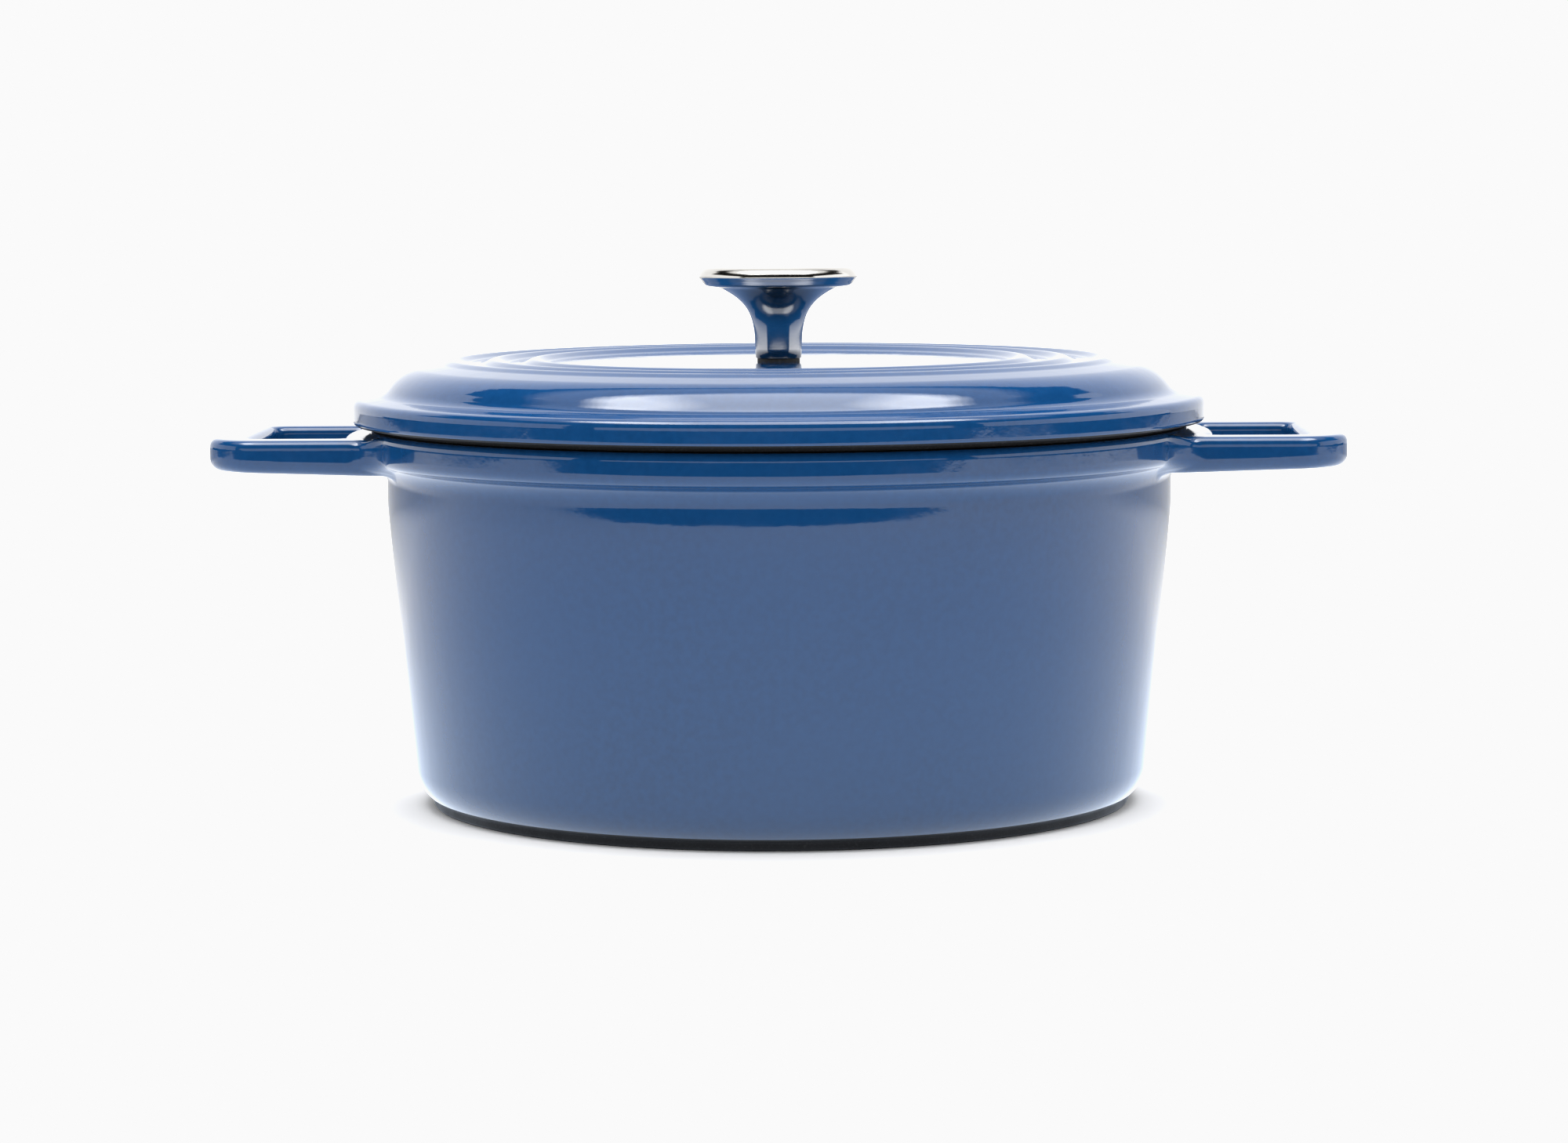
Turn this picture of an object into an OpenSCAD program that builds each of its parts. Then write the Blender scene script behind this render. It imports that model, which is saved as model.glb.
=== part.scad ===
// Round enamelled cast iron dutch oven with square loop handles, a ringed lid and a flared metal knob.
// Millimetres, +Z up. The origin is the middle of the pot's footprint on the table, and the handles
// point along X.

/* [Pot] */
// Height of the pot's rim above the table
pot_h = 133; // [115:1:150]
// Outer radius of the wall just under the rim band
wall_r = 139.5; // [136:0.5:141]
// Draft of the wall, which narrows towards the table
draft = 5.2; // [3:0.2:7]
// Thickness of the wall
wall_t = 3.9; // [3.5:0.1:4.6]
// Thickness of the pot's floor
floor_t = 4.6; // [4:0.1:6]
// Radius of the outer corner between wall and floor
corner_r = 15; // [12:1:20]
// Height of the foot ring under the corner
foot_h = 3.6; // [2.4:0.2:4.8]
// How far the foot ring is set in from the corner above it
foot_in = 1.3; // [0.8:0.1:2]
// Radius of the shallow recess in the underside
recess_r = 100; // [80:1:104]
// Depth of the shallow recess in the underside
recess_d = 0.6; // [0.3:0.1:1.2]

/* [Rim band] */
// How far the rim band stands out from the wall
band_out = 5.8; // [5:0.1:6.5]
// Height from the underside of the band to the rim
band_h = 16; // [15:0.5:18]
// Radius of the band's lower rounding
band_round = 3.5; // [3:0.1:4]
// Radius of the hollow where the band runs into the wall
band_hollow = 5; // [4.5:0.1:6]
// Radius of the rim's outer rounding
rim_round = 3.2; // [2.5:0.1:3.6]
// Radius of the rim's inner rounding
lip_round = 1.5; // [1:0.1:1.8]

/* [Handles] */
// Length over both handles
length = 395.6; // [390:0.2:410]
// Width of a handle across the pot's side
handle_w = 94; // [86:1:104]
// Width of the handle's bars
bar_w = 15; // [14:0.5:17]
// Thickness of the handle's bars
bar_t = 11.3; // [10:0.1:12]
// Rounding along the edges of the bars
bar_round = 3.2; // [2.5:0.1:4]
// Outer radius of the handle's corners
handle_corner = 18.5; // [17.5:0.5:24]
// Depth from the rim down to the handle's top
handle_drop = 2.1; // [1.5:0.1:3.5]
// Radius of the finger gap's inner end, which is round about the pot's axis
gap_r = 153.3; // [152.5:0.1:156]
// Radius of the hollow where a handle runs into the band
root_hollow = 10; // [6:1:12]

/* [Lid] */
// Outer radius of the lid
lid_r = 150.2; // [149:0.1:151]
// Height of the lid's flat middle above the pot's rim
lid_h = 22.5; // [22:0.1:24]
// Thickness of the lid
lid_t = 4; // [3.6:0.1:4.6]
// Gap that shows between the rim and the lid's outer edge
rim_gap = 1.7; // [1.2:0.1:2.4]
// Height of the lid's vertical outer edge
edge_h = 6.4; // [6:0.1:7]
// Depth of the skirt that drops into the pot
skirt_d = 5.5; // [4:0.5:7]
// Thickness of the skirt
skirt_t = 3.4; // [3:0.1:4]
// Clearance between the skirt and the pot's wall
skirt_gap = 1.4; // [1:0.1:2]

/* [Lid rings] */
// Number of raised rings
ring_count = 3; // [2:1:3]
// Crest radius of the innermost ring
ring_r = 86.2; // [80:0.2:88]
// Spacing of the rings
ring_step = 14.15; // [12:0.05:14.2]
// Height of a ring
ring_h = 1.7; // [0.8:0.1:2]
// Width of a ring at its foot
ring_w = 10.4; // [7:0.2:11]
// Height of the drip rings under the lid
drip_h = 1.2; // [0.6:0.1:1.6]

/* [Knob] */
// Outer radius of the knob
knob_r = 28.2; // [25:0.1:31]
// Height of the knob
knob_h = 32.9; // [30:0.1:36]
// Radius of the stem where it meets the gasket
stem_r = 8.05; // [7.8:0.05:8.6]
// Height of the knob's thick edge
edge_t = 7.2; // [6.8:0.1:8]
// Thickness of the gasket under the knob
gasket_t = 0.9; // [0.6:0.1:1.5]
// Radius of the gasket
gasket_r = 7.5; // [7:0.1:7.8]

/* [Fasteners] */
// Thread radius of the knob's screw
screw_r = 2.95; // [2.45:0.05:2.95]
// Length of the screw under its head
screw_l = 21; // [19:0.5:22]
// Radius of the screw's head
head_r = 6; // [5:0.5:6]
// Height of the screw's head
head_h = 3.6; // [3.4:0.1:4.2]
// Thickness of the flat washer
washer_t = 1.6; // [1.2:0.1:1.6]
// Radius of the flat washer
washer_r = 9; // [8:0.5:10]
// Thickness of the split lock washer
lock_t = 1.6; // [1.2:0.1:1.6]
// Radius of the split lock washer
lock_r = 5.8; // [5.4:0.1:6]

/* [Hidden] */
$fn = 96;

enamel = [0.11, 0.29, 0.50];
steel = [0.72, 0.72, 0.70];
rubber_black = [0.08, 0.08, 0.08];

// Points on an arc about c, from angle a0 to a1, in n steps
function arc(c, r, a0, a1, n = 6) =
    [for (i = [0:n]) c + r * [cos(a0 + (a1 - a0) * i / n), sin(a0 + (a1 - a0) * i / n)]];

// Pot wall: outer radius at height z, with the draft
band_z = pot_h - band_h;
band_r = wall_r + band_out;
function wall_at(z) = wall_r - (band_z - z) * tan(draft);

// The corner's circle is tangent to the table's plane and to the drafted wall, and ends at the foot ring
corner_c = [wall_at(corner_r) - corner_r / cos(draft), corner_r];
foot_dir = -asin((corner_r - foot_h) / corner_r);
foot_r = corner_c[0] + corner_r * cos(foot_dir) - foot_in;
foot_bevel = 0.5;
inner_corner_r = 0.87 * corner_r;
inner_c = [
    wall_at(floor_t + inner_corner_r) - wall_t - inner_corner_r / cos(draft),
    floor_t + inner_corner_r
];

// The band's lower rounding and the hollow under it touch in an S
hollow_c = [wall_r + band_hollow, band_z];
round_c = [
    band_r - band_round,
    band_z + sqrt(pow(band_round + band_hollow, 2) - pow(band_r - band_round - hollow_c[0], 2))
];
s_angle = atan2(hollow_c[1] - round_c[1], hollow_c[0] - round_c[0]);
bore_r = wall_at(pot_h) - wall_t;

// Handle, in its own half: the centre lines of its bars
handle_top = pot_h - handle_drop;
handle_z = handle_top - bar_t / 2;
end_x = length / 2 - bar_w / 2;
side_y = handle_w / 2 - bar_w / 2;
bend_r = handle_corner - bar_w / 2;
bend_x = end_x - bend_r;
bend_y = side_y - bend_r;
root_x = wall_r - 1;
root_y = handle_w / 2 + root_hollow;
hollow_x = sqrt(pow(band_r + root_hollow, 2) - pow(root_y, 2));

// Lid heights
seat_z = pot_h + 0.1;
edge_z = pot_h + rim_gap;
plate_z = pot_h + lid_h;
under_z = plate_z - lid_t;
pad_t = 1.4;
pad_z = under_z - pad_t;
pad_r = 13;
skirt_r = bore_r - skirt_gap;
skirt_foot = seat_z - skirt_d;
hole_r = 3.4;

// Lid edge: a convex shoulder, a hollow that touches it, then a narrow ledge with a rounded edge
shoulder_r = 17;
shoulder_in = 26.8;
shoulder_drop = 0.75;
shoulder_c = [lid_r - shoulder_in, plate_z - shoulder_r - shoulder_drop];
shoulder_top = 76;
valley_r = 6;
valley_dir = 34;
valley_end = 262;
valley_c = shoulder_c + (shoulder_r + valley_r) * [cos(valley_dir), sin(valley_dir)];
edge_round = 2.6;
edge_foot = 1.5;
under_round = 11.8;

// Where the lid sits on the pot: the seat on the rim, then the rounded skirt inside it
seat_out = band_r - 2.8;
seat_in = skirt_r + 3.4;
seat_round = 1.6;
skirt_round = 1.2;

// Knob and fastener heights
knob_z = plate_z + gasket_t;
knob_top = knob_z + knob_h;
flare_z = knob_top - edge_t - 0.5;
flare_r = 0.745 * knob_r;
flare_spread = 0.5;
flare_power = 4.2;
flare_n = 14;
lip_in = 1.1;
tap_depth = 13;
tap_r = 3;
washer_play = 0.25;
washer_z = pad_z - washer_t;
lock_z = washer_z - lock_t;
head_z = lock_z - head_h;

// Half outline of the pot, from the middle of the underside round to the middle of the floor
module pot_outline() {
    polygon(concat(
        [[0, recess_d], [recess_r, recess_d], [recess_r + 1, 0]],
        [[foot_r - foot_bevel, 0], [foot_r, foot_bevel], [foot_r, foot_h - foot_in / 2]],
        arc(corner_c, corner_r, foot_dir, -draft, 8),
        arc(hollow_c, band_hollow, 180 - draft / 2, 180 + s_angle, 6),
        arc(round_c, band_round, s_angle, 0, 6),
        arc([band_r - rim_round, pot_h - rim_round], rim_round, 0, 90, 8),
        arc([bore_r + lip_round, pot_h - lip_round], lip_round, 90, 180, 4),
        arc(inner_c, inner_corner_r, -draft, -90, 8),
        [[0, floor_t]]
    ));
}

// Round-edged section of the handle's bars, centred on the origin
module bar_section() {
    flat_w = bar_w - 2 * bar_round;
    flat_t = bar_t - 2 * bar_round;
    square([bar_w, flat_t], center = true);
    square([flat_w, bar_t], center = true);
    for (sx = [-1, 1], sy = [-1, 1]) {
        translate([sx * flat_w / 2, sy * flat_t / 2]) circle(bar_round, $fn = 32);
    }
}

// Solid that joins both side bars to the band, hollowed towards the band at its sides
module handle_root() {
    translate([0, 0, handle_top - bar_t]) {
        linear_extrude(bar_t) {
            difference() {
                intersection() {
                    translate([root_x - 12, -root_y]) square([gap_r - root_x + 12, 2 * root_y]);
                    circle(gap_r);
                }
                circle(root_x);
                for (s = [-1, 1]) {
                    translate([hollow_x, s * root_y]) circle(root_hollow);
                    translate([(hollow_x + gap_r) / 2, s * (root_y - root_hollow / 2)])
                        square([gap_r - hollow_x, root_hollow], center = true);
                }
            }
        }
    }
}

// One square loop handle on the +X side
module handle() {
    translate([0, 0, handle_z]) {
        for (s = [-1, 1]) {
            translate([root_x, s * side_y, 0])
                rotate([90, 0, 90]) linear_extrude(bend_x - root_x) bar_section();
        }
        translate([end_x, bend_y, 0])
            rotate([90, 0, 0]) linear_extrude(2 * bend_y) bar_section();
        translate([bend_x, bend_y, 0])
            rotate_extrude(angle = 90) translate([bend_r, 0]) bar_section();
        translate([bend_x, -bend_y, 0])
            rotate([0, 0, -90]) rotate_extrude(angle = 90) translate([bend_r, 0]) bar_section();
    }
    handle_root();
}

module pot_body() {
    color(enamel) {
        rotate_extrude() pot_outline();
        handle();
        rotate([0, 0, 180]) handle();
    }
}

// Smooth bump of width w and height h about radius r, standing on height z
function bump(r, w, z, h, n = 8) =
    [for (i = [0:n]) [r + w * (i / n - 0.5), z + h * (1 - cos(360 * i / n)) / 2]];

// Half outline of the lid, from the middle of its top round to the middle of its underside
module lid_outline() {
    rings = [for (k = [0:ring_count - 1]) ring_r + k * ring_step];
    polygon(concat(
        [[hole_r, plate_z]],
        [for (r = rings) each bump(r, ring_w, plate_z, ring_h)],
        arc(shoulder_c, shoulder_r, shoulder_top, valley_dir, 8),
        arc(valley_c, valley_r, 180 + valley_dir, valley_end, 6),
        arc([lid_r - edge_round, edge_z + edge_h], edge_round, valley_end - 180, 0, 6),
        arc([lid_r - edge_foot, edge_z + edge_foot], edge_foot, 0, -90, 4),
        [[seat_out + rim_gap / 2, edge_z], [seat_out, seat_z], [seat_in, seat_z]],
        arc([skirt_r + seat_round, seat_z - seat_round], seat_round, 90, 180, 4),
        arc([skirt_r - skirt_round, skirt_foot + skirt_round], skirt_round, 0, -90, 3),
        arc([skirt_r - skirt_t + skirt_round, skirt_foot + skirt_round], skirt_round, -90, -180, 3),
        arc([skirt_r - skirt_t - under_round, under_z - under_round], under_round, 0, 90, 8),
        [for (k = [ring_count - 1:-1:0]) each bump(rings[k], -ring_w / 2, under_z, -drip_h, 6)],
        [[pad_r + pad_t, under_z], [pad_r, pad_z], [hole_r, pad_z]]
    ));
}

module lid() {
    color(enamel) rotate_extrude() lid_outline();
}

// Radius of the knob's flare: slim over most of its height, opening out fast below the edge
function flare_at(t) =
    stem_r + flare_spread * t + (flare_r - stem_r - flare_spread) * pow(t, flare_power);

module knob_outline() {
    top_round = 2.2;
    low_round = 2.6;
    polygon(concat(
        [[0, knob_z], [stem_r - 0.5, knob_z]],
        [for (i = [1:flare_n]) let (t = i / flare_n)
            [flare_at(t), knob_z + (flare_z - knob_z) * t]],
        arc([knob_r - lip_in - low_round, knob_top - edge_t + low_round], low_round, -86, -16, 5),
        arc([knob_r - top_round, knob_top - top_round], top_round, 0, 80, 6),
        [[0, knob_top]]
    ));
}

module knob() {
    color(steel) difference() {
        rotate_extrude() knob_outline();
        translate([0, 0, knob_z - 1]) cylinder(h = tap_depth + 1, r = tap_r);
    }
}

module knob_gasket() {
    color(rubber_black) translate([0, 0, plate_z]) difference() {
        cylinder(h = gasket_t, r = gasket_r);
        translate([0, 0, -1]) cylinder(h = gasket_t + 2, r = hole_r);
    }
}

module knob_screw() {
    head_round = 1.6;
    tip = 1;
    slot_w = 1.3;
    slot_d = 2;
    color(steel) difference() {
        rotate_extrude() polygon(concat(
            [[0, head_z], [head_r - head_round, head_z]],
            arc([head_r - head_round, head_z + head_round], head_round, -90, 0, 5),
            [[head_r, lock_z], [screw_r, lock_z], [screw_r, lock_z + screw_l - tip]],
            [[screw_r - tip, lock_z + screw_l], [0, lock_z + screw_l]]
        ));
        for (a = [0, 90]) {
            rotate([0, 0, a]) translate([-head_r / 2, -slot_w / 2, head_z - 1])
                cube([head_r, slot_w, slot_d + 1]);
        }
    }
}

module ring_plate(z, inner_r, outer_r, t) {
    translate([0, 0, z]) difference() {
        cylinder(h = t, r = outer_r);
        translate([0, 0, -1]) cylinder(h = t + 2, r = inner_r);
    }
}

module flat_washer() {
    color(steel) ring_plate(washer_z, screw_r + washer_play, washer_r, washer_t);
}

module lock_washer() {
    slit = 1.2;
    slit_tilt = 15;
    color(steel) difference() {
        ring_plate(lock_z, screw_r + washer_play, lock_r, lock_t);
        translate([0, -slit / 2, lock_z - 1]) rotate([slit_tilt, 0, 0]) cube([lock_r + 1, slit, lock_t + 3]);
    }
}

pot_body();
lid();
knob();
knob_gasket();
knob_screw();
flat_washer();
lock_washer();
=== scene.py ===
"""Enamelled cast iron dutch oven: the finished look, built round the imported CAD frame.

The round castings are lathed from outlines like the CAD's, with finer arcs and softened creases, and the
pot's neck draws in a little under its band.
The loop handles are meshed from a distance field, so that they flow into the rim band as a casting does.
Outlines are in millimetres and meshes in metres, in the CAD's frame: X along the handles, Z up.
"""
import itertools
import math

import bpy
import numpy as np
from mathutils import Matrix, Vector


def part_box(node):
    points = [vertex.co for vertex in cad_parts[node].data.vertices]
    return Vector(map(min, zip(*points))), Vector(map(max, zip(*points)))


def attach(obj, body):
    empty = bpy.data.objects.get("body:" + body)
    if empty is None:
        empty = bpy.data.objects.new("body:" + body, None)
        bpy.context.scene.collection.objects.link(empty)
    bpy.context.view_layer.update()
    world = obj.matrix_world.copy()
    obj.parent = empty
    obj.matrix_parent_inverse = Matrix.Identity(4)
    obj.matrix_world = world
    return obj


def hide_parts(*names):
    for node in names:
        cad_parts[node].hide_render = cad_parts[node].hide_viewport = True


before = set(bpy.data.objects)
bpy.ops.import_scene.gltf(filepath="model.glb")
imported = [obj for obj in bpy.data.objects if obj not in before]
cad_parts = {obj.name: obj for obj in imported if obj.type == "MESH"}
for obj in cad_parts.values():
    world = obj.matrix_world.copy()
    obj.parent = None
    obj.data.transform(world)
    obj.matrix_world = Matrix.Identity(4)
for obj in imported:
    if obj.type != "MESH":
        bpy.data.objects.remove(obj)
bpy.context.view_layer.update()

MM = 0.001


def box_mm(node):
    """A CAD node's lowest and highest corner, in millimetres."""
    return [np.array(corner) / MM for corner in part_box(node)]


# ---------------------------------------------------------------- sizes, in mm

_, pot_high = box_mm("pot_body")
lid_low, lid_high = box_mm("lid")
knob_low, knob_high = box_mm("knob")
gasket_low, _ = box_mm("knob_gasket")

# pot
HALF_LENGTH, BAND_R, RIM_Z = pot_high
BAND_OUT = 5.8
BAND_H = 16.0
BAND_ROUND = 3.5
BAND_HOLLOW = 7.5
RIM_ROUND = 3.2
LIP_ROUND = 1.5
WALL_R = BAND_R - BAND_OUT
WALL_T = 3.9
DRAFT = math.radians(5.2)
FLOOR_T = 4.6
CORNER_R = 15.0
FOOT_H = 3.6
FOOT_BEVEL = 0.5
FOOT_IN = 1.3
INNER_CORNER_R = 0.87 * CORNER_R
RECESS_R = 100.0
RECESS_D = 0.6
BAND_Z = RIM_Z - BAND_H
NECK_Z = 106.5  # the wall draws in again from here up to the band
NECK_TURN = 0.103
NECK_BEND = 1.6

# where the blue enamel stops
BLUE_FOOT_Z = FOOT_H + 0.6
BLUE_RIM_Z = RIM_Z - 0.35

# handles
HANDLE_W = 94.0
HANDLE_TOP = RIM_Z - 2.1
HANDLE_FOOT = HANDLE_TOP - 11.1  # underside at the outer end
FOOT_SLOPE = 0.03  # how fast the underside falls towards the pot
BAR_W = 15.0
TOP_ROUND = 2.6
FOOT_ROUND = 4.2
HANDLE_CORNER = 18.5
GAP_R = 153.3

# lid
LID_R = lid_high[0]
SKIRT_FOOT = lid_low[2]
PLATE_Z = gasket_low[2]
RIM_GAP = 1.7
SEAT_Z = RIM_Z + 0.1
EDGE_Z = RIM_Z + RIM_GAP
EDGE_H = 6.4
LID_T = 4.0
HOLE_R = 3.4
RING_R = (86.2, 100.35, 114.5)
RING_H = (1.7, 1.65, 1.45)
RING_W = 10.4
DRIP_H = 1.2

# knob
KNOB_R = knob_high[0]
KNOB_Z = knob_low[2]
KNOB_TOP = knob_high[2]
STEM_R = 8.05

SEGMENTS = 200


# ---------------------------------------------------------------- outlines

def arc(centre, radius, start, end, steps):
    """Points on an arc, with its angles in radians."""
    return [
        (centre[0] + radius * math.cos(a), centre[1] + radius * math.sin(a))
        for a in np.linspace(start, end, steps + 1)
    ]


def wall_at(z):
    """Outer radius of the drafted wall at height z."""
    return WALL_R - (BAND_Z - z) * math.tan(DRAFT)


def neck_at(z):
    """Outer radius of the wall, drawn in towards the band."""
    return wall_at(z) - NECK_TURN * NECK_BEND * np.logaddexp(0, (z - NECK_Z) / NECK_BEND)


def bump(radius, width, base, height, steps=16):
    """A smooth round ridge on an outline; a negative height makes it hang down."""
    return [
        (radius + width * (t - 0.5), base + height * (1 - math.cos(2 * math.pi * t)) / 2)
        for t in np.linspace(0, 1, steps + 1)
    ]


def resample(points, step):
    """The same line with a point at every step."""
    points = np.array(points, float)
    lengths = np.hypot(*np.diff(points, axis=0).T)
    along = np.concatenate([[0], np.cumsum(lengths)])
    marks = np.linspace(0, along[-1], max(2, round(along[-1] / step)) + 1)
    return np.stack([np.interp(marks, along, points[:, k]) for k in (0, 1)], 1)


def soften(points, reach):
    """Rounds every crease of a line over about that reach, keeping its two ends."""
    step = 0.25
    line = resample(points, step)
    width = max(1, round(reach / step))
    kernel = np.hanning(2 * width + 3)[1:-1]
    kernel /= kernel.sum()
    pad = len(kernel) // 2
    before = 2 * line[0] - line[pad:0:-1]
    after = 2 * line[-1] - line[-2:-pad - 2:-1]
    padded = np.concatenate([before, line, after])
    return np.stack([np.convolve(padded[:, k], kernel, "valid") for k in (0, 1)], 1)


def thin_out(points, tolerance=0.004, longest=4.0):
    """Drops points that a straight line can stand for, and splits what is left longer than longest."""
    points = np.array(points, float)
    keep = {0, len(points) - 1}
    spans = [(0, len(points) - 1)]
    while spans:
        a, b = spans.pop()
        if b - a < 2:
            continue
        run = points[b] - points[a]
        length = np.hypot(*run)
        off = points[a + 1:b] - points[a]
        miss = np.abs(off[:, 0] * run[1] - off[:, 1] * run[0]) / max(length, 1e-9)
        worst = int(miss.argmax())
        if miss[worst] > tolerance or length > longest:
            middle = a + 1 + worst if miss[worst] > tolerance else (a + b) // 2
            keep.add(middle)
            spans += [(a, middle), (middle, b)]
    return grade([tuple(points[i]) for i in sorted(keep)])


def grade(points, ratio=2.0, shortest=0.15):
    """Splits long pieces next to short ones, so that a flat's shading isn't bent by its neighbour."""
    points = list(points)
    i = 0
    while i < len(points) - 1:
        here = math.dist(points[i], points[i + 1])
        before = math.dist(points[i - 1], points[i]) if i else here
        after = math.dist(points[i + 1], points[i + 2]) if i + 2 < len(points) else here
        limit = ratio * max(min(before, after), shortest)
        if here > 1.5 * limit:
            from_start = before <= after
            t = limit / here if from_start else 1 - limit / here
            (r0, z0), (r1, z1) = points[i], points[i + 1]
            points.insert(i + 1, (r0 + t * (r1 - r0), z0 + t * (z1 - z0)))
            i = max(i - 1, 0)
        else:
            i += 1
    return points


def pot_outside():
    """The blue side of the pot: from the underside's edge up over the rim's outer rounding."""
    corner = (wall_at(CORNER_R) - CORNER_R / math.cos(DRAFT), CORNER_R)
    foot_dir = -math.asin((CORNER_R - FOOT_H) / CORNER_R)
    foot_r = corner[0] + CORNER_R * math.cos(foot_dir) - FOOT_IN
    foot = [(foot_r - FOOT_BEVEL, 0), (foot_r, FOOT_BEVEL), (foot_r, FOOT_H - FOOT_IN / 2)]
    hollow_z = BAND_Z - 2.5
    hollow = (neck_at(hollow_z) + BAND_HOLLOW, hollow_z)
    reach = BAND_ROUND + BAND_HOLLOW
    across = BAND_R - BAND_ROUND - hollow[0]
    round_c = (BAND_R - BAND_ROUND, hollow_z + math.sqrt(reach ** 2 - across ** 2))
    swing = math.atan2(hollow[1] - round_c[1], hollow[0] - round_c[0])
    wall = [(neck_at(z), z) for z in np.linspace(CORNER_R + 2, hollow_z - 1, 60)]
    return np.concatenate([
        soften(foot + arc(corner, CORNER_R, foot_dir, -DRAFT, 30), 0.5),
        soften(
            wall + arc(hollow, BAND_HOLLOW, math.pi, math.pi + swing, 24)
            + arc(round_c, BAND_ROUND, swing, 0, 24)[1:],
            1.2,
        ),
        arc((BAND_R - RIM_ROUND, RIM_Z - RIM_ROUND), RIM_ROUND, 0, math.pi / 2, 24),
    ])


def pot_inside():
    """The inside of the pot: from the rim's inner rounding down to the middle of the floor."""
    bore = wall_at(RIM_Z) - WALL_T
    corner = (
        wall_at(FLOOR_T + INNER_CORNER_R) - WALL_T - INNER_CORNER_R / math.cos(DRAFT),
        FLOOR_T + INNER_CORNER_R,
    )
    return (
        arc((bore + LIP_ROUND, RIM_Z - LIP_ROUND), LIP_ROUND, math.pi / 2, math.pi, 8)
        + arc(corner, INNER_CORNER_R, -DRAFT, -math.pi / 2, 16)
        + [(0, FLOOR_T)]
    )


def split_at(points, height, rising=True):
    """Cuts a line where it passes that height. Both halves share the point on the cut."""
    points = [tuple(p) for p in points]
    for i, ((r0, z0), (r1, z1)) in enumerate(itertools.pairwise(points)):
        if (z0 < height <= z1) if rising else (z0 > height >= z1):
            t = (height - z0) / (z1 - z0)
            cut = (r0 + t * (r1 - r0), height)
            return points[:i + 1] + [cut], [cut] + points[i + 1:]
    raise ValueError(f"the outline doesn't pass {height}")


# ---------------------------------------------------------------- meshes

def new_object(name, vertices, faces, face_materials, materials, sharp=math.radians(50)):
    """A smooth-shaded mesh object from millimetres, with one material per face."""
    mesh = bpy.data.meshes.new(name)
    mesh.from_pydata((np.asarray(vertices) * MM).tolist(), [], faces)
    for material in materials:
        mesh.materials.append(material)
    mesh.polygons.foreach_set("material_index", face_materials)
    mesh.polygons.foreach_set("use_smooth", [True] * len(faces))
    mesh.update()
    mesh.set_sharp_from_angle(angle=sharp)
    obj = bpy.data.objects.new(name, mesh)
    bpy.context.scene.collection.objects.link(obj)
    return obj


def lathe(sections, segments=SEGMENTS):
    """Turns outline sections, each (points, material index), about Z.

    Returns vertices, faces and each face's material. Sections follow one another and share their
    end points. A section that starts or ends on the axis closes there with a fan.
    """
    rows, row_material = [], []
    for points, material in sections:
        start = 1 if rows else 0
        for p in points[start:]:
            rows.append(p)
            row_material.append(material)
    angles = np.linspace(0, 2 * math.pi, segments, endpoint=False)
    vertices, first, faces, face_material = [], [], [], []
    for r, z in rows:
        first.append(len(vertices))
        if r < 1e-6:
            vertices.append((0, 0, z))
        else:
            vertices += [(r * math.cos(a), r * math.sin(a), z) for a in angles]
    for k in range(len(rows) - 1):
        a, b = first[k], first[k + 1]
        a_pole, b_pole = rows[k][0] < 1e-6, rows[k + 1][0] < 1e-6
        for i in range(segments):
            j = (i + 1) % segments
            if a_pole:
                faces.append((a, b + j, b + i))
            elif b_pole:
                faces.append((a + i, a + j, b))
            else:
                faces.append((a + i, a + j, b + j, b + i))
            face_material.append(row_material[k + 1])
    return vertices, faces, face_material


# ---------------------------------------------------------------- handles as a distance field

def line_distance(r, z, line):
    """Distance from each point to a line of straight pieces."""
    best = np.full(r.shape, 1e9)
    for (r0, z0), (r1, z1) in itertools.pairwise(line):
        dr, dz = r1 - r0, z1 - z0
        t = np.clip(((r - r0) * dr + (z - z0) * dz) / (dr * dr + dz * dz + 1e-12), 0, 1)
        best = np.minimum(best, np.hypot(r - r0 - t * dr, z - z0 - t * dz))
    return best


def smooth_step(low, high, x):
    t = np.clip((x - low) / (high - low), 0, 1)
    return t * t * (3 - 2 * t)


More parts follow.
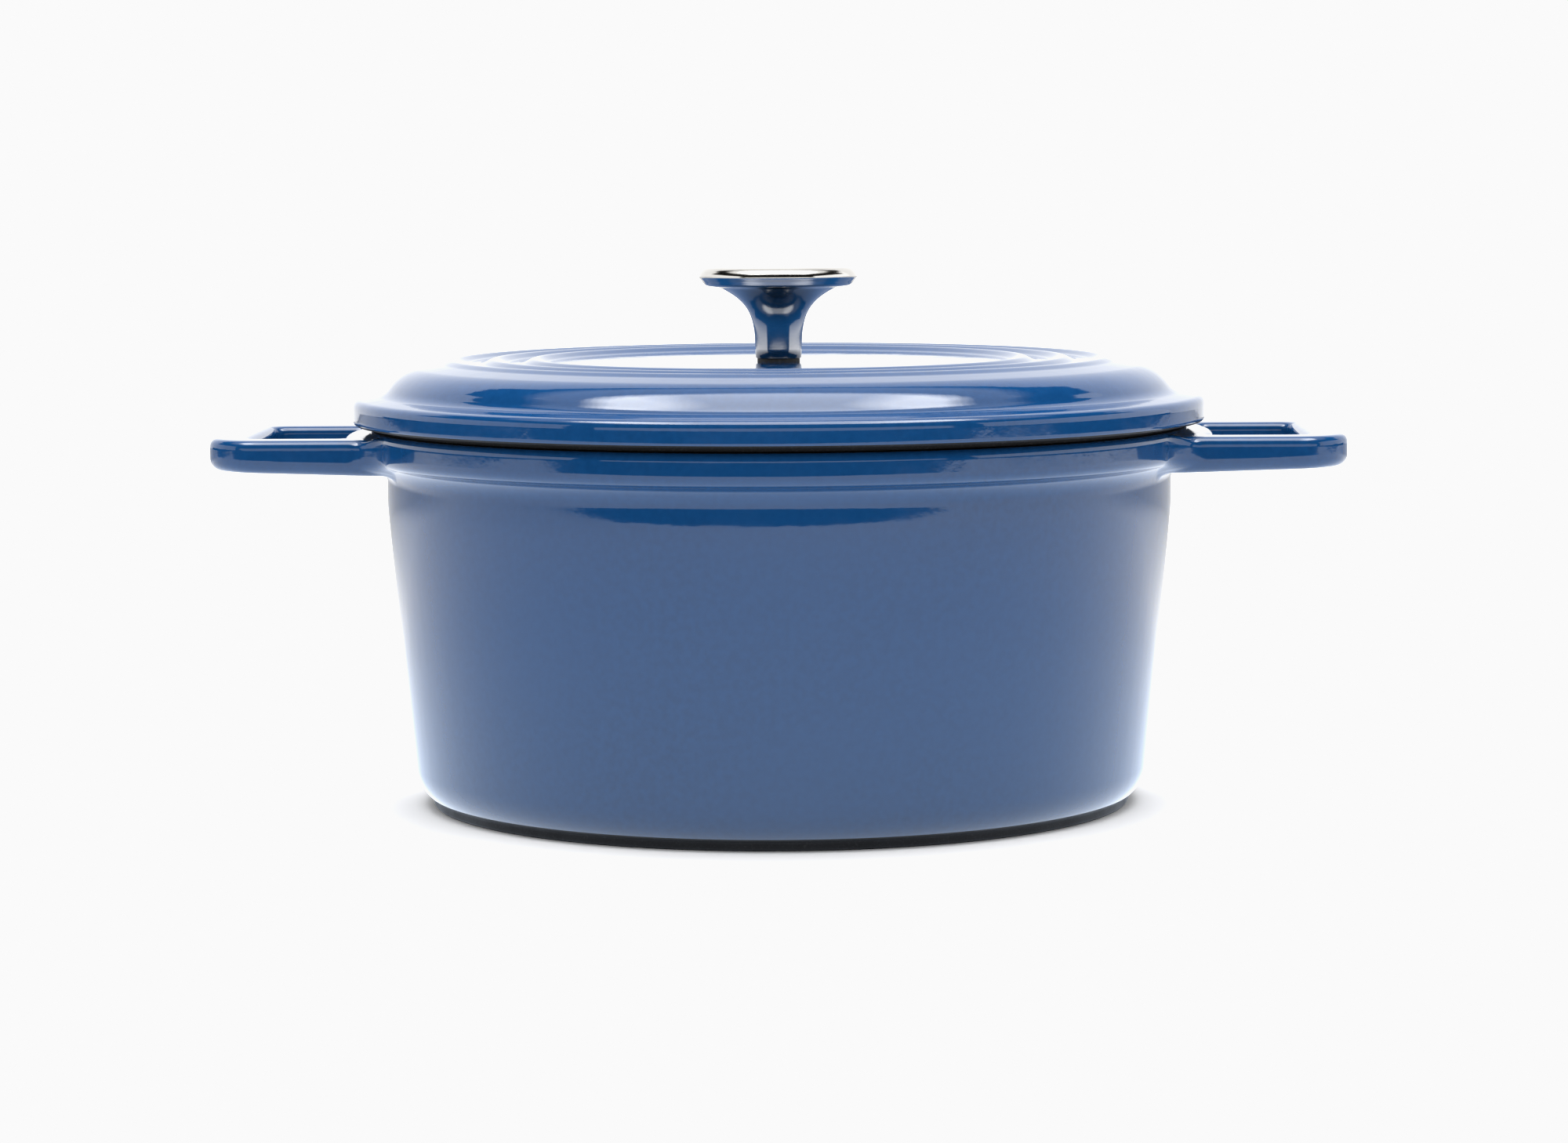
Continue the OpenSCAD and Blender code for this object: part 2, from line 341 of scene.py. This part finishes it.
class HandleField:
    """Signed distance to one loop handle and the piece of wall and band that it grows from."""

    CLIP_Y = HANDLE_W / 2 + 13
    CLIP_Z = BAND_Z - 9
    CLIP_R = WALL_R - 2.2
    TOP_FILLET = 3.0
    SIDE_FILLET = 9.5
    FADE_LOW, FADE_HIGH = 1.8, 0.5  # depths under the rim between which the handle gives way to the pot
    SUNK = 0.2

    def __init__(self, outline):
        self.line = [tuple(p) for p in outline if p[1] > self.CLIP_Z - 6]

    def pot(self, r, z):
        radii, heights = zip(*self.line)
        inside = (z < RIM_Z) & (r < np.interp(z, heights, radii))
        return np.where(inside, -1, 1) * line_distance(r, z, self.line + [(WALL_R - 6, RIM_Z)])

    def plan(self, x, y, r):
        """Distance to the handle's outline seen from above: a rounded plate less the finger gap."""
        out_x, out_y = x - (HALF_LENGTH - HANDLE_CORNER), np.abs(y) - (HANDLE_W / 2 - HANDLE_CORNER)
        plate = np.hypot(np.maximum(out_x, 0), np.maximum(out_y, 0))
        plate = plate + np.minimum(np.maximum(out_x, out_y), 0) - HANDLE_CORNER
        bend = HANDLE_CORNER - BAR_W
        gap_x = x - (HALF_LENGTH - BAR_W - bend)
        gap_y = np.abs(y) - (HANDLE_W / 2 - BAR_W - bend)
        gap = np.hypot(np.maximum(gap_x, 0), np.maximum(gap_y, 0))
        gap = gap + np.minimum(np.maximum(gap_x, gap_y), 0) - bend
        inner = GAP_R - r
        round_in = 4.0
        gap = np.minimum(np.maximum(gap + round_in, inner + round_in), 0) - round_in + np.hypot(
            np.maximum(gap + round_in, 0), np.maximum(inner + round_in, 0)
        )
        return np.maximum(plate, -gap)

    def loop(self, x, y, z, r):
        """Returns the distance to the handle, how far outside it is in plan and in height, and how
        far above its underside."""
        plan = self.plan(x, y, r)
        under = HANDLE_FOOT - FOOT_SLOPE * (HALF_LENGTH - 8 - np.clip(x, BAND_R - 5, HALF_LENGTH - 8))
        above, below = z - HANDLE_TOP, under - z
        rounding = np.where(above > below, TOP_ROUND, FOOT_ROUND)
        height = np.maximum(above, below)
        u, v = plan + rounding, height + rounding
        outside = np.hypot(np.maximum(u, 0), np.maximum(v, 0))
        return outside + np.minimum(np.maximum(u, v), 0) - rounding, plan, height, z - under

    def whole(self, p):
        x, y, z = p[..., 0], p[..., 1], p[..., 2]
        r = np.hypot(x, y)
        pot = self.pot(r, z)
        loop, plan, height, rise = self.loop(x, y, z, r)
        beside = smooth_step(HANDLE_W / 2 - 8, HANDLE_W / 2 - 2, np.abs(y))
        beside = beside * smooth_step(-3, 3, plan - height) * smooth_step(-1, 5, rise)
        fillet = self.TOP_FILLET + (self.SIDE_FILLET - self.TOP_FILLET) * beside
        sunk = pot + 0.12 * smooth_step(1, 7, loop - fillet)
        both = np.maximum(fillet, np.minimum(sunk, loop)) - np.hypot(
            np.maximum(fillet - sunk, 0), np.maximum(fillet - loop, 0)
        )
        to_rim = smooth_step(RIM_Z - self.FADE_LOW, RIM_Z - self.FADE_HIGH, z)
        both = both + (pot + self.SUNK - both) * to_rim  # the rim itself is the lathed pot's, and black
        cut = np.maximum(self.CLIP_R - r, self.CLIP_Z - z)
        return np.maximum(both, np.maximum(cut, np.abs(y) - self.CLIP_Y))


def surface_net(field, low, step):
    """Quads round the zero surface of a sampled field: one vertex in each cell that it crosses."""
    cells = tuple(n - 1 for n in field.shape)
    total, count = np.zeros(cells + (3,)), np.zeros(cells)
    for axis in range(3):
        others = [k for k in range(3) if k != axis]
        for shift in itertools.product((0, 1), repeat=2):
            near = [slice(0, n) for n in cells]
            point = np.zeros(cells + (3,))
            for k, s in zip(others, shift):
                near[k] = slice(s, s + cells[k])
                point[..., k] = s
            far = list(near)
            far[axis] = slice(1, 1 + cells[axis])
            v0, v1 = field[tuple(near)], field[tuple(far)]
            crossed = (v0 < 0) != (v1 < 0)
            point[..., axis] = np.where(crossed, v0 / np.where(crossed, v0 - v1, 1), 0)
            total += point * crossed[..., None]
            count += crossed
    active = count > 0
    index = np.full(cells, -1)
    index[active] = np.arange(active.sum())
    vertices = low + step * (np.argwhere(active) + total[active] / count[active][:, None])
    faces = []
    for axis in range(3):
        b, c = (axis + 1) % 3, (axis + 2) % 3
        start = [slice(1, n) for n in cells]
        start[axis] = slice(0, cells[axis])
        end = list(start)
        end[axis] = slice(1, 1 + cells[axis])
        inner, outer = field[tuple(start)] < 0, field[tuple(end)] < 0
        for leaving in (True, False):
            at = np.argwhere((inner & ~outer) if leaving else (~inner & outer))
            at[:, b] += 1
            at[:, c] += 1
            corners = []
            for sb, sc in ((-1, -1), (0, -1), (0, 0), (-1, 0)):
                cell = at.copy()
                cell[:, b] += sb
                cell[:, c] += sc
                corners.append(index[tuple(cell.T)])
            quads = np.stack(corners, 1)
            faces.append(quads if leaving else quads[:, ::-1])
    return vertices, np.concatenate(faces)


def pull_onto(field, vertices, rounds=4, nudge=0.05, most=0.3):
    """Moves vertices onto the zero surface, along the field's slope."""
    for _ in range(rounds):
        value = field(vertices)
        slope = np.stack([
            (field(vertices + d) - field(vertices - d)) / (2 * nudge)
            for d in np.eye(3) * nudge
        ], -1)
        size = np.maximum((slope ** 2).sum(-1, keepdims=True), 0.25)
        vertices = vertices - np.clip(value[:, None] * slope / size, -most, most)
    return vertices


def handle_mesh(outline, step):
    """Vertices and quads of the handle on the +X side."""
    shape = HandleField(outline)
    low = np.array([shape.CLIP_R - 12, -shape.CLIP_Y - 2 * step, shape.CLIP_Z - 2 * step])
    high = np.array([HALF_LENGTH + 2 * step, shape.CLIP_Y + 2 * step, RIM_Z + 2 * step])
    axes = [np.arange(a, b + step, step) for a, b in zip(low, high)]
    grid = np.stack(np.meshgrid(*axes, indexing="ij"), -1)
    vertices, faces = surface_net(shape.whole(grid), low, step)
    r = np.hypot(vertices[:, 0], vertices[:, 1])
    visible = shape.pot(r, vertices[:, 2]) > -0.6
    vertices[visible] = pull_onto(shape.whole, vertices[visible])
    return vertices, faces


# ---------------------------------------------------------------- materials

class Nodes:
    """A material's node tree, with short calls for what these materials use."""

    def __init__(self, name):
        self.material = bpy.data.materials.new(name)
        self.material.use_nodes = True
        self.tree = self.material.node_tree
        self.shader = self.tree.nodes["Principled BSDF"]
        self.object_coords = self.add("ShaderNodeTexCoord").outputs["Object"]

    def add(self, kind, **values):
        node = self.tree.nodes.new(kind)
        for key, value in values.items():
            setattr(node, key, value)
        return node

    def link(self, source, target):
        self.tree.links.new(source, target)

    def noise(self, scale, detail=2.0, roughness=0.5, stretch=None, distortion=0.0):
        """Noise whose features are about 1/scale metres across."""
        node = self.add("ShaderNodeTexNoise")
        node.inputs["Scale"].default_value = scale
        node.inputs["Detail"].default_value = detail
        node.inputs["Roughness"].default_value = roughness
        node.inputs["Distortion"].default_value = distortion
        coords = self.object_coords
        if stretch:
            mapping = self.add("ShaderNodeMapping")
            mapping.inputs["Scale"].default_value = stretch
            self.link(coords, mapping.inputs["Vector"])
            coords = mapping.outputs["Vector"]
        self.link(coords, node.inputs["Vector"])
        return node.outputs["Fac"]

    def rings(self, scale):
        """Noise that changes only with the distance from Z, as ripples round a casting's middle."""
        flat = self.add("ShaderNodeVectorMath", operation="MULTIPLY")
        flat.inputs[1].default_value = (1, 1, 0)
        self.link(self.object_coords, flat.inputs[0])
        radius = self.add("ShaderNodeVectorMath", operation="LENGTH")
        self.link(flat.outputs["Vector"], radius.inputs[0])
        node = self.add("ShaderNodeTexNoise", noise_dimensions="1D")
        node.inputs["Scale"].default_value = scale
        node.inputs["Detail"].default_value = 3
        self.link(radius.outputs["Value"], node.inputs["W"])
        return node.outputs["Fac"]

    def spread(self, value, low, high, start=0.3, end=0.7):
        """Maps start..end onto low..high."""
        node = self.add("ShaderNodeMapRange")
        for key, number in (("From Min", start), ("From Max", end), ("To Min", low), ("To Max", high)):
            node.inputs[key].default_value = number
        self.link(value, node.inputs["Value"])
        return node.outputs["Result"]

    def math(self, operation, *values):
        node = self.add("ShaderNodeMath", operation=operation)
        for socket, value in zip(node.inputs, values):
            if isinstance(value, bpy.types.NodeSocket):
                self.link(value, socket)
            else:
                socket.default_value = value
        return node.outputs["Value"]

    def mix(self, factor, a, b):
        """Mixes two colours. Each is a colour or a socket."""
        node = self.add("ShaderNodeMix", data_type="RGBA")
        self.link(factor, node.inputs["Factor"])
        for key, value in (("A", a), ("B", b)):
            socket = next(s for s in node.inputs if s.name == key and s.type == "RGBA")
            if isinstance(value, tuple):
                socket.default_value = (*value, 1)
            else:
                self.link(value, socket)
        return next(s for s in node.outputs if s.type == "RGBA")

    def bumps(self, *layers):
        """Chains bump layers, each (height socket, depth in metres), into the shader's normal."""
        normal = None
        for height, depth in layers:
            node = self.add("ShaderNodeBump")
            node.inputs["Strength"].default_value = 1
            node.inputs["Distance"].default_value = depth
            self.link(height, node.inputs["Height"])
            if normal:
                self.link(normal, node.inputs["Normal"])
            normal = node.outputs["Normal"]
        self.link(normal, self.shader.inputs["Normal"])

    def set(self, **values):
        for key, value in values.items():
            socket = self.shader.inputs[key.replace("_", " ").title().replace("Ior", "IOR")]
            if isinstance(value, bpy.types.NodeSocket):
                self.link(value, socket)
            else:
                socket.default_value = (*value, 1) if isinstance(value, tuple) else value


def blue_enamel():
    """Glassy enamel: even blue that pools a little, with slow waves and a fine orange peel."""
    n = Nodes("blue_enamel")
    pools = n.spread(n.noise(14, 3), 0, 1)
    grain = n.spread(n.noise(420, 2), 0, 1)
    deep = n.mix(pools, (0.0026, 0.030, 0.097), (0.0034, 0.034, 0.109))
    n.set(base_color=n.mix(grain, deep, (0.0040, 0.037, 0.116)))
    n.set(roughness=n.spread(n.noise(55, 3), 0.035, 0.075), IOR=1.5)
    n.bumps(
        (n.noise(30, 2, distortion=0.3), 0.00011),
        (n.noise(1, 2, stretch=(150, 150, 14)), 0.00003),
        (n.noise(170, 3), 0.000014),
        (n.rings(330), 0.000008),
        (n.noise(620, 2), 0.000005),
    )
    return n.material


def black_enamel():
    """Matte black enamel of the inside, the rims and the underside: satin, with a fine pebble."""
    n = Nodes("black_enamel")
    cloud = n.spread(n.noise(25, 4), 0, 1)
    fleck = n.spread(n.noise(1500, 2), 0, 1, 0.55, 0.75)
    base = n.mix(cloud, (0.0035, 0.0035, 0.0038), (0.006, 0.006, 0.0065))
    n.set(base_color=n.mix(fleck, base, (0.016, 0.016, 0.017)))
    n.set(roughness=n.spread(n.noise(90, 3), 0.5, 0.62), IOR=1.5, specular_ior_level=0.12)
    n.bumps((n.noise(60, 2), 0.0001), (n.noise(900, 3, 0.6), 0.00004))
    return n.material


def satin_steel():
    """Turned stainless steel: fine rings from the lathe under a soft polish."""
    n = Nodes("satin_steel")
    turned = n.noise(1, 2, 0.6, stretch=(60, 60, 5200))
    smudge = n.spread(n.noise(55, 3), 0, 1)
    n.set(metallic=1.0, base_color=n.mix(smudge, (0.53, 0.515, 0.49), (0.60, 0.585, 0.56)))
    n.set(roughness=n.spread(n.noise(140, 4), 0.09, 0.15))
    n.bumps((turned, 0.000004), (n.noise(90, 2), 0.00003))
    return n.material


def zinc_steel():
    """Plain bright fasteners, slightly dulled."""
    n = Nodes("zinc_steel")
    dull = n.spread(n.noise(320, 4), 0, 1)
    n.set(metallic=1.0, base_color=n.mix(dull, (0.46, 0.45, 0.43), (0.60, 0.59, 0.57)))
    n.set(roughness=n.spread(n.noise(500, 3), 0.25, 0.42))
    n.bumps((n.noise(1600, 3), 0.00001))
    return n.material


def gasket_rubber():
    """Dull black heat-proof gasket."""
    n = Nodes("gasket_rubber")
    dust = n.spread(n.noise(700, 4), 0, 1, 0.5, 0.8)
    n.set(base_color=n.mix(dust, (0.012, 0.012, 0.012), (0.035, 0.034, 0.033)))
    n.set(roughness=n.spread(n.noise(900, 3), 0.6, 0.8))
    n.bumps((n.noise(2200, 3), 0.00003))
    return n.material


# ---------------------------------------------------------------- pieces

BLUE, BLACK = 0, 1


def make_pot(materials):
    outside = pot_outside()
    foot, rest = split_at(outside, BLUE_FOOT_Z)
    wall, rim = split_at(rest, BLUE_RIM_Z)
    under = [(0, RECESS_D), (RECESS_R, RECESS_D), (RECESS_R + 1, 0), tuple(foot[0])]
    sections = [
        (thin_out(resample(under, 1.0), longest=8), BLACK),
        (thin_out(foot), BLACK),
        (thin_out(wall), BLUE),
        (thin_out(rim + pot_inside()), BLACK),
    ]
    vertices, faces, face_materials = lathe(sections)
    grown, quads = handle_mesh(outside, 0.9)
    for side in (1, -1):
        shift = len(vertices)
        turned = grown * (side, side, 1)
        vertices += turned.tolist()
        faces += (quads + shift).tolist()
        face_materials += [BLUE] * len(quads)
    pot = new_object("pot", vertices, faces, face_materials, materials)
    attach(pot, "pot")
    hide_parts("pot_body")
    return pot


def lid_top():
    """The lid's upper side, from the hole in its middle out to the foot of its edge."""
    shoulder_r, valley_r, edge_round = 17.0, 6.0, 2.6
    shoulder = (LID_R - 26.8, PLATE_Z - 17.75)
    turn, start, end = math.radians(34), math.radians(76), math.radians(262)
    valley = (
        shoulder[0] + (shoulder_r + valley_r) * math.cos(turn),
        shoulder[1] + (shoulder_r + valley_r) * math.sin(turn),
    )
    rings = [p for r, h in zip(RING_R, RING_H) for p in bump(r, RING_W, PLATE_Z, h)]
    top = (
        [(HOLE_R, PLATE_Z)] + rings
        + arc(shoulder, shoulder_r, start, turn, 24)
        + arc(valley, valley_r, math.pi + turn, end, 16)
        + arc((LID_R - edge_round, EDGE_Z + EDGE_H), edge_round, end - math.pi, 0, 16)
    )
    foot = arc((LID_R - 1.5, EDGE_Z + 1.5), 1.5, 0, -math.pi / 2, 10)
    return np.concatenate([soften(top, 1.3), foot])


def lid_under():
    """The lid's underside, from its edge over the seat and skirt to the hole."""
    bore = wall_at(RIM_Z) - WALL_T
    skirt, skirt_t, skirt_round, seat_round = bore - 1.4, 3.4, 1.2, 1.6
    under_z, under_round = PLATE_Z - LID_T, 11.8
    seat_out = BAND_R - 2.8
    pad_r, pad_t = 13.0, 1.4
    foot = SKIRT_FOOT
    quarter = math.pi / 2
    drips = [p for r in reversed(RING_R) for p in bump(r, -RING_W / 2, under_z, -DRIP_H, 10)]
    return (
        [(seat_out + RIM_GAP / 2, EDGE_Z), (seat_out, SEAT_Z), (skirt + 3.4, SEAT_Z)]
        + arc((skirt + seat_round, SEAT_Z - seat_round), seat_round, quarter, math.pi, 8)
        + arc((skirt - skirt_round, foot + skirt_round), skirt_round, 0, -quarter, 6)
        + arc((skirt - skirt_t + skirt_round, foot + skirt_round), skirt_round, -quarter, -math.pi, 6)
        + arc((skirt - skirt_t - under_round, under_z - under_round), under_round, 0, quarter, 16)
        + drips
        + [(pad_r + pad_t, under_z), (pad_r, under_z - pad_t), (HOLE_R, under_z - pad_t)]
    )


def make_lid(materials):
    blue, black = split_at(lid_top(), EDGE_Z + 0.75, rising=False)
    hole = [(HOLE_R, PLATE_Z - LID_T - 1.4), (HOLE_R, PLATE_Z)]
    sections = [
        (thin_out(blue), BLUE),
        (thin_out(black + lid_under()), BLACK),
        (hole, BLACK),
    ]
    vertices, faces, face_materials = lathe(sections)
    faces = [f[::-1] for f in faces]
    lid = new_object("lid_casting", vertices, faces, face_materials, materials)
    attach(lid, "lid")
    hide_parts("lid")
    return lid


def make_knob(material):
    edge_t, lip_in, top_round, low_round = 7.2, 1.1, 3.6, 2.6
    flare_z, flare_r = KNOB_TOP - edge_t - 0.5, 0.745 * KNOB_R
    tap_r, tap_depth, crown, taper = 3.0, 13.0, 0.45, 1.2
    flare = [
        (STEM_R + taper * t + (flare_r - STEM_R - taper) * t ** 4.6, KNOB_Z + (flare_z - KNOB_Z) * t)
        for t in np.linspace(0.02, 1, 48)
    ]
    edge = (
        arc((KNOB_R - lip_in - low_round, KNOB_TOP - edge_t + low_round), low_round,
            math.radians(-86), math.radians(-16), 12)
        + arc((KNOB_R - top_round, KNOB_TOP - crown - top_round), top_round, 0, math.radians(84), 14)
    )
    top = [(r, KNOB_TOP - crown * (r / KNOB_R) ** 2) for r in np.linspace(KNOB_R - top_round - 0.5, 0, 12)]
    bottom = [(0, KNOB_Z + tap_depth), (tap_r, KNOB_Z + tap_depth), (tap_r, KNOB_Z), (STEM_R - 0.5, KNOB_Z)]
    outline = np.concatenate([soften(flare + edge, 0.8), top])
    vertices, faces, face_materials = lathe([(bottom + [tuple(outline[0])], 0), (thin_out(outline), 0)], 160)
    knob = new_object("knob_turned", vertices, faces, face_materials, [material])
    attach(knob, "lid")
    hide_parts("knob")
    return knob


def dress(node, material, bevel):
    """Gives a CAD node its material and breaks its sharp edges by that much, in mm."""
    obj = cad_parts[node]
    obj.data.materials.clear()
    obj.data.materials.append(material)
    edges = obj.modifiers.new("broken_edges", "BEVEL")
    edges.width = bevel * MM
    edges.segments = 2
    edges.limit_method = "ANGLE"
    edges.angle_limit = math.radians(40)
    edges.harden_normals = True


# ---------------------------------------------------------------- studio

PAPER_WHITE = 0.956
ONLY_REFLECTED = {"camera": False, "diffuse": False, "shadow": False, "transmission": False}


def flat_card(name, centre, size, facing, material, **seen_by):
    """A rectangle of the set, not of the object. seen_by switches off kinds of ray."""
    w, h = size[0] / 2, size[1] / 2
    mesh = bpy.data.meshes.new(name)
    mesh.from_pydata([(-w, -h, 0), (w, -h, 0), (w, h, 0), (-w, h, 0)], [], [(0, 1, 2, 3)])
    mesh.materials.append(material)
    card = bpy.data.objects.new(name, mesh)
    bpy.context.scene.collection.objects.link(card)
    card.location = centre
    card.rotation_mode = "QUATERNION"
    card.rotation_quaternion = Vector(facing).to_track_quat("Z", "Y")
    for kind, seen in seen_by.items():
        setattr(card, f"visible_{kind}", seen)
    return card


def matte_paper():
    """The floor's paper: pale, faintly mottled and without gloss."""
    n = Nodes("pale_floor")
    mottle = n.spread(n.noise(3, 2), 0, 1)
    n.set(base_color=n.mix(mottle, (0.65, 0.65, 0.65), (0.67, 0.67, 0.67)))
    n.set(roughness=0.9, specular_ior_level=0.0)
    return n.material


def glow(name, radiance, brightness=None, tint=None):
    """A card's light. brightness and tint are functions that build a factor on the radiance and a colour."""
    n = Nodes(name)
    light = n.add("ShaderNodeEmission")
    light.inputs["Strength"].default_value = radiance
    if brightness:
        n.link(n.math("MULTIPLY", brightness(n), radiance), light.inputs["Strength"])
    if tint:
        n.link(tint(n), light.inputs["Color"])
    n.tree.nodes.remove(n.shader)
    n.link(light.outputs["Emission"], n.tree.nodes["Material Output"].inputs["Surface"])
    return n.material


def measure(n, size):
    """Distance of a card's points from its middle, 1 on the ellipse of that size."""
    scaled = n.add("ShaderNodeVectorMath", operation="MULTIPLY")
    scaled.inputs[1].default_value = (2 / size[0], 2 / size[1], 0)
    n.link(n.object_coords, scaled.inputs[0])
    out = n.add("ShaderNodeVectorMath", operation="LENGTH")
    n.link(scaled.outputs["Vector"], out.inputs[0])
    return out.outputs["Value"]


def spill_light(n, size):
    """Brightness of the ceiling round the softbox: even, and gone at its ends."""
    return n.spread(measure(n, size), 1, 0, 0.8, 1)


def softbox_light(n, size, lamp_x, dim, edge):
    """Brightness of cloth in front of two lamps: dimmer between them, and down to edge at its ends."""
    place = n.add("ShaderNodeSeparateXYZ")
    n.link(n.object_coords, place.inputs["Vector"])
    sideways = n.math("ABSOLUTE", place.outputs["X"])
    off_lamp = n.math("ABSOLUTE", n.math("SUBTRACT", sideways, lamp_x))
    lamps = n.spread(off_lamp, 1, dim, 0.12, 0.42)
    return n.math("MAXIMUM", n.math("MULTIPLY", lamps, n.spread(measure(n, size), 1, 0, 0.75, 1)), edge)


def table_light(n):
    """Brightness of the table: highest round the pot's foot, and falling off behind it."""
    place = n.add("ShaderNodeSeparateXYZ")
    n.link(n.object_coords, place.inputs["Vector"])
    across = n.spread(place.outputs["X"], 0.92, 1.1, -1, 1)
    behind = n.spread(place.outputs["Y"], 1, 0.5, 0.4, 0.9)
    near = n.spread(measure(n, (2, 2)), 1.15, 1, 0.16, 0.42)
    return n.math("MULTIPLY", n.math("MULTIPLY", across, behind), near)


def table_tint(n):
    """White, and bluish round the pot's foot where the pot's own colour falls on it."""
    near = n.spread(measure(n, (2, 2)), 1, 0, 0.16, 0.55)
    return n.mix(near, (1.0, 1.0, 1.0), (0.90, 1.01, 1.18))


def lit_table():
    """The lit part of the floor, which is all of it that the gloss picks up. It ends towards the camera."""
    side, back, front_left, front_right = 1.95, 1.95, -0.89, -1.34
    above_floor = 0.3 * MM
    corners = [(-side, front_left), (side, front_right), (side, back), (-side, back)]
    mesh = bpy.data.meshes.new("floor_lit")
    mesh.from_pydata([(x, y, above_floor) for x, y in corners], [], [(0, 1, 2, 3)])
    mesh.materials.append(glow("table_light", 1.68, table_light, table_tint))
    table = bpy.data.objects.new("floor_lit", mesh)
    bpy.context.scene.collection.objects.link(table)
    for kind, seen in ONLY_REFLECTED.items():
        setattr(table, f"visible_{kind}", seen)


def make_tent():
    """Bright cards behind and beside the object, and a low one behind the camera, seen only in the gloss."""
    back_y, side_x, side_z, side_top, wide_top, back_top = 2.0, 2.6, 0.10, 1.35, 2.4, 3.2
    back = glow("back_white", 1.42)
    flat_card(
        "card_back", (0, back_y, wide_top / 2), (2 * side_x, wide_top), (0, -1, 0), back, **ONLY_REFLECTED,
    )
    narrow = 3.2
    flat_card(
        "card_back_top", (0, back_y, (wide_top + back_top) / 2), (narrow, back_top - wide_top), (0, -1, 0),
        back, **ONLY_REFLECTED,
    )
    side_y, side_w, wing = 0.1, 3.8, 0.6
    for name, side, radiance in (("left", -1, 1.5), ("right", 1, 1.75)):
        white = glow(f"{name}_white", radiance)
        flat_card(
            f"card_{name}", (side * side_x, side_y, (side_z + side_top) / 2), (side_w, side_top - side_z),
            (-side, 0, 0), white, **ONLY_REFLECTED,
        )
        flat_card(
            f"card_{name}_wing", (side * side_x, back_y - wing / 2, (side_top + wide_top) / 2),
            (wing, wide_top - side_top), (-side, 0, 0), white, **ONLY_REFLECTED,
        )
    front_at, front = (0, -3.0, 0.31), (6.4, 0.58)
    flat_card("card_front", front_at, front, (0, 1, 0), glow("front_white", 1.5), **ONLY_REFLECTED)


def make_ceiling():
    """A softbox with a lamp towards each end, and the ceiling it spills onto, seen only in the gloss."""
    spill_at, spill, spill_l = (0, -0.2, 1.8), (3.6, 2.6), 1.3
    box_at, box, box_l, lamp_x, dim = (0, -0.43, 1.65), (2.6, 1.6), 15, 0.78, 0.5
    ceiling = glow("spill", spill_l, lambda n: spill_light(n, spill))
    flat_card("card_spill", spill_at, spill, (0, 0, -1), ceiling, **ONLY_REFLECTED)
    cloth = glow("softbox", box_l, lambda n: softbox_light(n, box, lamp_x, dim, spill_l / box_l))
    flat_card("card_softbox", box_at, box, (0, 0, -1), cloth, **ONLY_REFLECTED)


def make_light():
    """What lights the matte colours: an even white world and one broad soft light from above."""
    world = bpy.data.worlds.new("white_room")
    world.use_nodes = True
    background = world.node_tree.nodes["Background"]
    background.inputs["Color"].default_value = (1, 1, 1, 1)
    background.inputs["Strength"].default_value = 1.1
    world.cycles_visibility.glossy = False
    bpy.context.scene.world = world
    lamp = bpy.data.lights.new("overhead", "SUN")
    lamp.energy = 2.5 * math.pi
    lamp.angle = math.radians(75)
    overhead = bpy.data.objects.new("overhead", lamp)
    overhead.rotation_euler = (math.radians(-14), 0, 0)
    overhead.visible_glossy = False
    bpy.context.scene.collection.objects.link(overhead)


def make_set():
    """A pale floor in a bright tent, under a softbox."""
    flat_card("floor", (0, 0, 0), (60, 60), (0, 0, 1), matte_paper(), glossy=False)
    lit_table()
    make_tent()
    make_ceiling()
    make_light()


def make_camera():
    """A 100 mm lens about 1.54 m away, a little above the knob and right of square, 5.5 degrees down."""
    data = bpy.data.cameras.new("camera")
    data.lens, data.sensor_width = 100.0, 36.0
    camera = bpy.data.objects.new("camera", data)
    bpy.context.scene.collection.objects.link(camera)
    place = Matrix.Rotation(math.radians(1.52), 4, "Z") @ Matrix.Translation((0.00145, -1.5407, 0.2303))
    tilt = Matrix.Rotation(math.radians(90 - 5.549), 4, "X")
    roll = Matrix.Rotation(math.radians(-0.348), 4, "Z")
    camera.matrix_world = place @ tilt @ roll
    bpy.context.scene.camera = camera


def set_film():
    """Plain colours, with everything brighter than paper clipped to a white just under full white."""
    view = bpy.context.scene.view_settings
    view.view_transform = "Standard"
    view.look = "None"
    view.use_curve_mapping = True
    tone = view.curve_mapping
    curve = tone.curves[3]
    curve.points[0].location = (0, 0)
    curve.points[-1].location = (1, PAPER_WHITE)
    curve.points.new(PAPER_WHITE, PAPER_WHITE)
    for point in curve.points:
        point.handle_type = "VECTOR"
    tone.update()


make_camera()
set_film()
make_set()
enamels = [blue_enamel(), black_enamel()]
make_pot(enamels)
make_lid(enamels)
make_knob(satin_steel())
steel = zinc_steel()
dress("knob_gasket", gasket_rubber(), 0.15)
dress("knob_screw", steel, 0.2)
dress("flat_washer", steel, 0.2)
dress("lock_washer", steel, 0.15)
